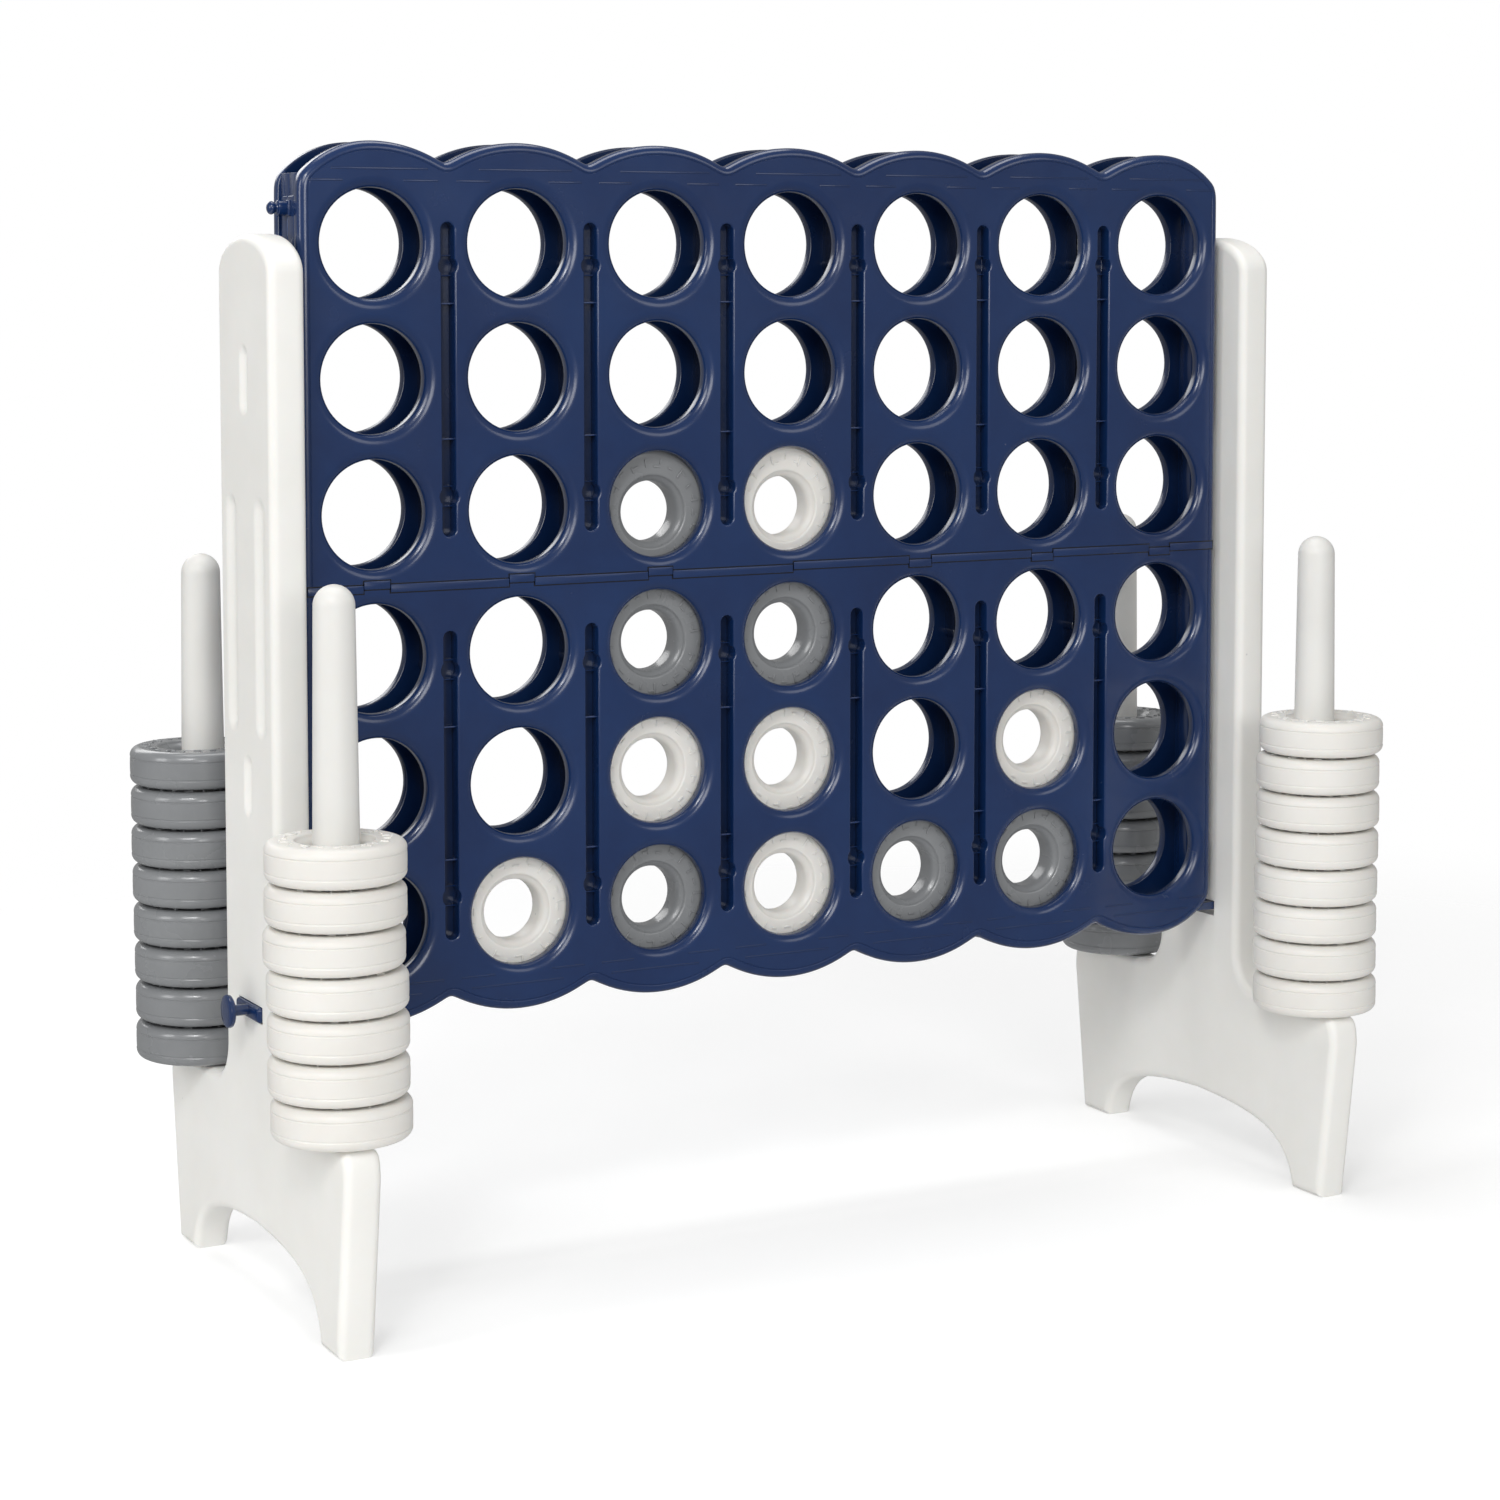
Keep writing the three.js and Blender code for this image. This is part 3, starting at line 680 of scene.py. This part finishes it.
# ---- Pegs ----------------------------------------------------------------------------------------
peg = Mesh()
peg.add(soft_box((492.3, -9, -7), (496.3, 9, 7), 1.0, 3))
peg_turn = turned([(0, 2), (6.8, 2), (6.8, 11), (6.4, 11.6), (4.6, 12.2), (4.2, 13), (4.4, 13.8)]
                  + [(6 * math.cos(math.radians(a)), 17 + 4 * math.sin(math.radians(a)))
                     for a in range(-40, 90, 10)] + [(0, 21)], 40)
peg.add(peg_turn, Matrix.Translation((492.3, 0, 0)) @ Matrix.Rotation(math.pi / 2, 4, "Y"))
for level, rise in (("upper", 338), ("lower", -338)):
    for side, turn in (("right", 0), ("left", math.pi)):
        name = f"{side}_{level}_peg"
        place = Matrix.Translation((0, 0, SEAM_Z + rise)) @ Matrix.Rotation(turn, 4, "Z")
        make_piece(name + "_finish", peg, NAVY, "frame", [name], place)

# ---- Legs ----------------------------------------------------------------------------------------
# Drawn with X along the leg's depth, Y up and Z out from the board's end.
LEG_ROUND = 8


def leg_outline():
    crown_z = 955 - 34
    right = [(162, 0), (208, 0)]
    right = resample(right, 12)[:-1]
    right += resample([(208, 0), (228, 156)], 16)
    right += bezier((228, 156), (228, 184), (214, 184), 10)
    right += resample([(214, 184), (105, 184)], 16)
    right += arc(105, 222, 38, 270, 180, 14)
    right += resample([(67, 222), (67, crown_z)], 24)
    right += [(67 * math.cos(math.radians(a)), crown_z + 34 * math.sin(math.radians(a)))
              for a in range(4, 90, 4)]
    top = [(0, 955)]
    left = [(-x, y) for x, y in right[::-1]]
    arch = cubic((-162, 0), (-152, 50), (-110, 62), (0, 66), 30)
    arch += cubic((0, 66), (110, 62), (152, 50), (162, 0), 30)[1:]
    return tidy(right + top + left + arch, True)


def stadium(cx, half, y0, y1, grow, count=11):
    r = half + grow
    return arc(cx, y0 + half, r, 180, 360, count) + arc(cx, y1 - half, r, 0, 180, count)


# Dimples and flutes of the outer face: middle, half width, bottom and top.
GROOVES = [(0, 11, 795, 858), (0, 11, 436, 493), (-36, 14, 510, 725), (36, 14, 510, 725)]
SLIDER_TOP = 269
SLOT_Y = 30.2


def leg_mesh():
    mesh = Mesh()
    outline = leg_outline()
    ns = normals(outline, True)
    rows = [(LEG_ROUND + FLAT_MARGIN, LEG_INNER_X)]
    rows += [(d, LEG_INNER_X + LEG_ROUND - r) for d, r in quarter(LEG_ROUND, 8)[::-1]]
    rows += [(d, LEG_OUTER_X - LEG_ROUND + r) for d, r in quarter(LEG_ROUND, 8)]
    rows += [(LEG_ROUND + FLAT_MARGIN, LEG_OUTER_X)]
    loops = [mesh.loop([(x, y, z) for x, y in inset(outline, ns, d)]) for d, z in rows]
    mesh.loft(loops)
    outer_holes = []
    depth = 4
    for cx, half, y0, y1 in GROOVES:
        wide = half + 1
        prof = [(1.8, 0)] + [(1.2 - wide * t / 12, -depth * (1 - math.cos(math.pi * t / 12)) / 2)
                             for t in range(0, 12)]
        rings = [mesh.loop([(x, y, LEG_OUTER_X + h) for x, y in stadium(cx, half, y0, y1, g)])
                 for g, h in prof]
        mesh.loft(rings, flip=True)
        mesh.cap(rings[-1])
        outer_holes.append(rings[0])
    # The slot that the release slider's handle comes out of.
    lo, hi = SLIDER_TOP - 14.7, SLIDER_TOP + 0.7
    slot = [(SLOT_Y, lo), (SLOT_Y, hi), (-SLOT_Y, hi), (-SLOT_Y, lo)]
    near = mesh.loop([(x, y, LEG_INNER_X) for x, y in slot])
    far = mesh.loop([(x, y, LEG_OUTER_X) for x, y in slot])
    mesh.strip(near, far, flip=True)
    fill_flat(mesh, loops[-1], outer_holes + [far], up=True)
    fill_flat(mesh, loops[0], [near], up=False)
    mesh.add(soft_box((-17, 330, 494), (17, 762, LEG_INNER_X + 1), 1.5, 3))
    return mesh


leg = leg_mesh()
# Drawing X -> +Y, drawing Y -> +Z, drawing Z -> +X.
leg_stand = Matrix(((0, 0, 1, 0), (1, 0, 0, 0), (0, 1, 0, 0), (0, 0, 0, 1)))
for side, turn in (("right", 0), ("left", math.pi)):
    make_piece(f"{side}_leg_finish", leg, WHITE, "frame", [f"{side}_leg"],
               Matrix.Rotation(turn, 4, "Z") @ leg_stand)

# ---- Posts ---------------------------------------------------------------------------------------
base = SHOULDER_Z + FIT_GAP
post_profile = [(0, base - 24), (8, base - 24), (8, base), (22.4, base), (23, base + 0.6)]
post_profile += [(23 - 5 * i / 12, base + (POST_TOP - 18 - base) * i / 12) for i in range(1, 12)]
post_profile += [(18 * math.cos(math.radians(a)), POST_TOP - 18 + 18 * math.sin(math.radians(a)))
                 for a in range(0, 90, 6)] + [(0, POST_TOP)]
post = turned(post_profile, 64)
for corner, (sx, sy) in {"left_front": (-1, -1), "right_front": (1, -1),
                         "left_back": (-1, 1), "right_back": (1, 1)}.items():
    make_piece(f"{corner}_post_finish", post, POST_SHADED_WHITE, "frame", [f"{corner}_post"],
               Matrix.Translation((sx * POST_X, sy * POST_Y, 0)))

# ---- Release slider ------------------------------------------------------------------------------
slider = Mesh()
bottom = SLIDER_TOP - 8
for side in (-1, 1):
    a, b = sorted((side * 29.5, side * 20.5))
    slider.add(soft_box((-503, a, bottom), (515, b, SLIDER_TOP), 1, 2))
for column in range(1, COLUMNS + 1):
    x = column_x(column)
    slider.add(soft_box((x - 6, -28.5, bottom), (x + 6, 28.5, SLIDER_TOP), 1, 2))
slider.add(soft_box((503, -28.5, bottom), (515, 28.5, SLIDER_TOP), 1, 2))
slider.add(soft_box((-541, -29.5, SLIDER_TOP - 14), (-500, 29.5, SLIDER_TOP), 3.5, 4))
grip = turned([(0, 530), (5, 530), (5, 553.6), (6.2, 554.8), (13.0, 555.2), (14.5, 556.2), (15, 558),
               (14.5, 559.8), (13.0, 560.7), (6, 561), (0, 561)], 48)
slider.add(grip, Matrix.Translation((0, 0, SLIDER_TOP - 6)) @ Matrix.Rotation(-math.pi / 2, 4, "Y"))
make_piece("release_slider_finish", slider, NAVY, "release_slider", ["release_slider"])

# ---- Rings ---------------------------------------------------------------------------------------
TREAD_ROUND = 8
MARK_HEIGHT = 1.0
# Short raised bars on a ring's faces: inner radius, length, across the radius or along it, width.
MARKS = [(42, 7.5, False, 1.6), (44, 5.5, True, 1.5), (41, 6.0, False, 1.4), (47, 6.0, True, 1.4),
         (40.5, 9.5, False, 1.7), (43, 4.5, True, 1.6), (45, 5.0, False, 1.4), (41.5, 6.5, True, 1.7)]


def ring_profile():
    """Half of the closed section, from the middle of the tread to the middle of the throat."""
    half, outer = RING_HALF, RING_RADIUS
    side = [(outer, 0), (outer, 2), (outer - 0.1, 6), (outer - 0.15, 7.2), (outer - 0.55, 7.7),
            (outer - 0.6, 8.3), (outer - 0.25, 8.9)]
    side += [(outer - TREAD_ROUND + TREAD_ROUND * math.cos(math.radians(a)),
              half - 1 - TREAD_ROUND + TREAD_ROUND * math.sin(math.radians(a))) for a in range(0, 75, 9)]
    face = half - MARK_HEIGHT
    side += [(54.2, face - 0.35), (53.4, face - 0.05), (52.8, face), (52.2, face), (36.6, face), (36, face),
             (35, face - 0.3), (34.3, face - 1), (34, face - 1.8), (33.4, face - 2.6), (32.2, face - 3.6),
             (30.8, face - 4.9), (29.8, face - 6.2), (29.1, face - 7.6), (28.6, face - 9.2), (28.4, 6),
             (28.3, 0)]
    return side


def ring_mesh():
    upper = ring_profile()
    lower = [(r, -z) for r, z in upper[-2:0:-1]]
    section = upper + lower
    mesh = turned(section, 96, closed_profile=True)
    for i, (r0, length, across, wide) in enumerate(MARKS * 4):
        reach, half = (length, wide / 2) if not across else (wide, length / 2)
        bar = soft_box((r0, -half, RING_HALF - 1.6), (r0 + reach, half, RING_HALF), 0.2, 2)
        turn = Matrix.Rotation(2 * math.pi * (i + 0.3 * (i % 3)) / (4 * len(MARKS)), 4, "Z")
        mesh.add(bar, turn)
        mesh.add(bar, Matrix.Rotation(math.pi, 4, "X") @ turn)
    return mesh


ring = ring_mesh()
finishes = {"white": (WHITE_RING, "white_ring_plastic"), "grey": (GREY_RING, "grey_ring_plastic")}
for index, node in enumerate(sorted(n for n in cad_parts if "_ring_" in n)):
    lo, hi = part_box(node)
    centre = (lo + hi) / 2 / MM
    material, slot = finishes[node.split("_")[0]]
    place = Matrix.Translation(centre)
    if "_column_" in node:
        place = place @ Matrix.Rotation(math.pi / 2, 4, "X")
    place = place @ Matrix.Rotation(2.4 * index, 4, "Z")
    make_piece(node + "_finish", ring, material, node, [node], place)

# ---- Floor, light and camera -----------------------------------------------------------------------
floor_mesh = bpy.data.meshes.new("floor")
reach = 12.0
floor_mesh.from_pydata([(-reach, -reach, 0), (reach, -reach, 0), (reach, reach, 0), (-reach, reach, 0)], [],
                       [(0, 1, 2, 3)])
floor = bpy.data.objects.new("floor", floor_mesh)
bpy.context.scene.collection.objects.link(floor)
pale, pale_shader = new_material("pale_floor")
pale_shader.inputs["Base Color"].default_value = (0.84, 0.84, 0.84, 1)
pale_shader.inputs["Roughness"].default_value = 0.8
pale_shader.inputs["Specular IOR Level"].default_value = 0.1
pale_shader.inputs["Emission Color"].default_value = (1, 1, 1, 1)
# The floor glows a little for the camera, and far from the object it fades into the white backdrop.
tree = pale.node_tree
lift = tree.nodes.new("ShaderNodeMapRange")
lift.inputs["To Max"].default_value = 0.3
lift.inputs["To Min"].default_value = 0.08
tree.links.new(tree.nodes.new("ShaderNodeLightPath").outputs["Is Camera Ray"], lift.inputs["Value"])
tree.links.new(lift.outputs[0], pale_shader.inputs["Emission Strength"])
place = tree.nodes.new("ShaderNodeTexCoord")
distance = tree.nodes.new("ShaderNodeVectorMath")
distance.operation = "LENGTH"
tree.links.new(place.outputs["Object"], distance.inputs[0])
fade = tree.nodes.new("ShaderNodeMapRange")
fade.interpolation_type = "SMOOTHSTEP"
fade.inputs["From Min"].default_value = 0.9
fade.inputs["From Max"].default_value = 2.4
tree.links.new(distance.outputs["Value"], fade.inputs["Value"])
clear = tree.nodes.new("ShaderNodeBsdfTransparent")
choose = tree.nodes.new("ShaderNodeMixShader")
tree.links.new(fade.outputs[0], choose.inputs[0])
tree.links.new(pale_shader.outputs[0], choose.inputs[1])
tree.links.new(clear.outputs[0], choose.inputs[2])
tree.links.new(choose.outputs[0], tree.nodes["Material Output"].inputs[0])
floor_mesh.materials.append(pale)
floor.visible_glossy = False

bpy.context.scene.view_settings.view_transform = "Standard"
world = bpy.data.worlds.new("studio")
bpy.context.scene.world = world
world.use_nodes = True
tree = world.node_tree
soft = tree.nodes["Background"]
soft.inputs[0].default_value = (1, 1, 1, 1)
soft.inputs[1].default_value = 0.3
backdrop = tree.nodes.new("ShaderNodeBackground")
backdrop.inputs[0].default_value = (1, 1, 1, 1)
backdrop.inputs[1].default_value = 1.0
seen = tree.nodes.new("ShaderNodeLightPath")
choose = tree.nodes.new("ShaderNodeMixShader")
tree.links.new(seen.outputs["Is Camera Ray"], choose.inputs[0])
tree.links.new(soft.outputs[0], choose.inputs[1])
tree.links.new(backdrop.outputs[0], choose.inputs[2])
tree.links.new(choose.outputs[0], tree.nodes["World Output"].inputs[0])


def area_light(name, location, target, size, energy):
    data = bpy.data.lights.new(name, "AREA")
    data.shape = "RECTANGLE"
    data.size, data.size_y = size
    data.energy = energy
    light = bpy.data.objects.new(name, data)
    light.location = location
    light.rotation_euler = (Vector(target) - Vector(location)).to_track_quat("-Z", "Y").to_euler()
    bpy.context.scene.collection.objects.link(light)


area_light("key", (-2.6, -2.7, 2.8), (0, 0, 0.6), (1.8, 1.8), 56)
area_light("spark", (-2.3, -2.9, 3.1), (0, 0, 0.6), (0.5, 0.5), 18)
area_light("front", (-0.9, -4.8, 1.5), (0, 0, 0.6), (2.0, 1.4), 50)
area_light("fill", (2.0, -3.9, 2.5), (0, 0, 0.6), (1.8, 1.6), 18)
area_light("left", (-3.8, -0.3, 1.5), (0, 0, 0.5), (1.2, 1.6), 30)
area_light("top", (0.0, 0.3, 3.4), (0, 0, 0.5), (2.4, 1.4), 38)
area_light("back", (-0.6, 3.4, 2.4), (0, 0, 0.6), (2.0, 1.6), 26)

camera_data = bpy.data.cameras.new("camera")
camera = bpy.data.objects.new("camera", camera_data)
bpy.context.scene.collection.objects.link(camera)
bpy.context.scene.camera = camera
camera_data.sensor_width = 36
camera_data.lens = 79.58
camera_data.shift_x = 0.0
camera_data.shift_y = -0.15
camera_data.clip_end = 60
azimuth, elevation = math.radians(-28.45), math.radians(4.52)
back = Vector((math.sin(azimuth) * math.cos(elevation), -math.cos(azimuth) * math.cos(elevation),
               math.sin(elevation)))
camera.location = (-1.5387, -2.7880, 0.9295)
camera.rotation_mode = "QUATERNION"
camera.rotation_quaternion = (-back).to_track_quat("-Z", "Y")
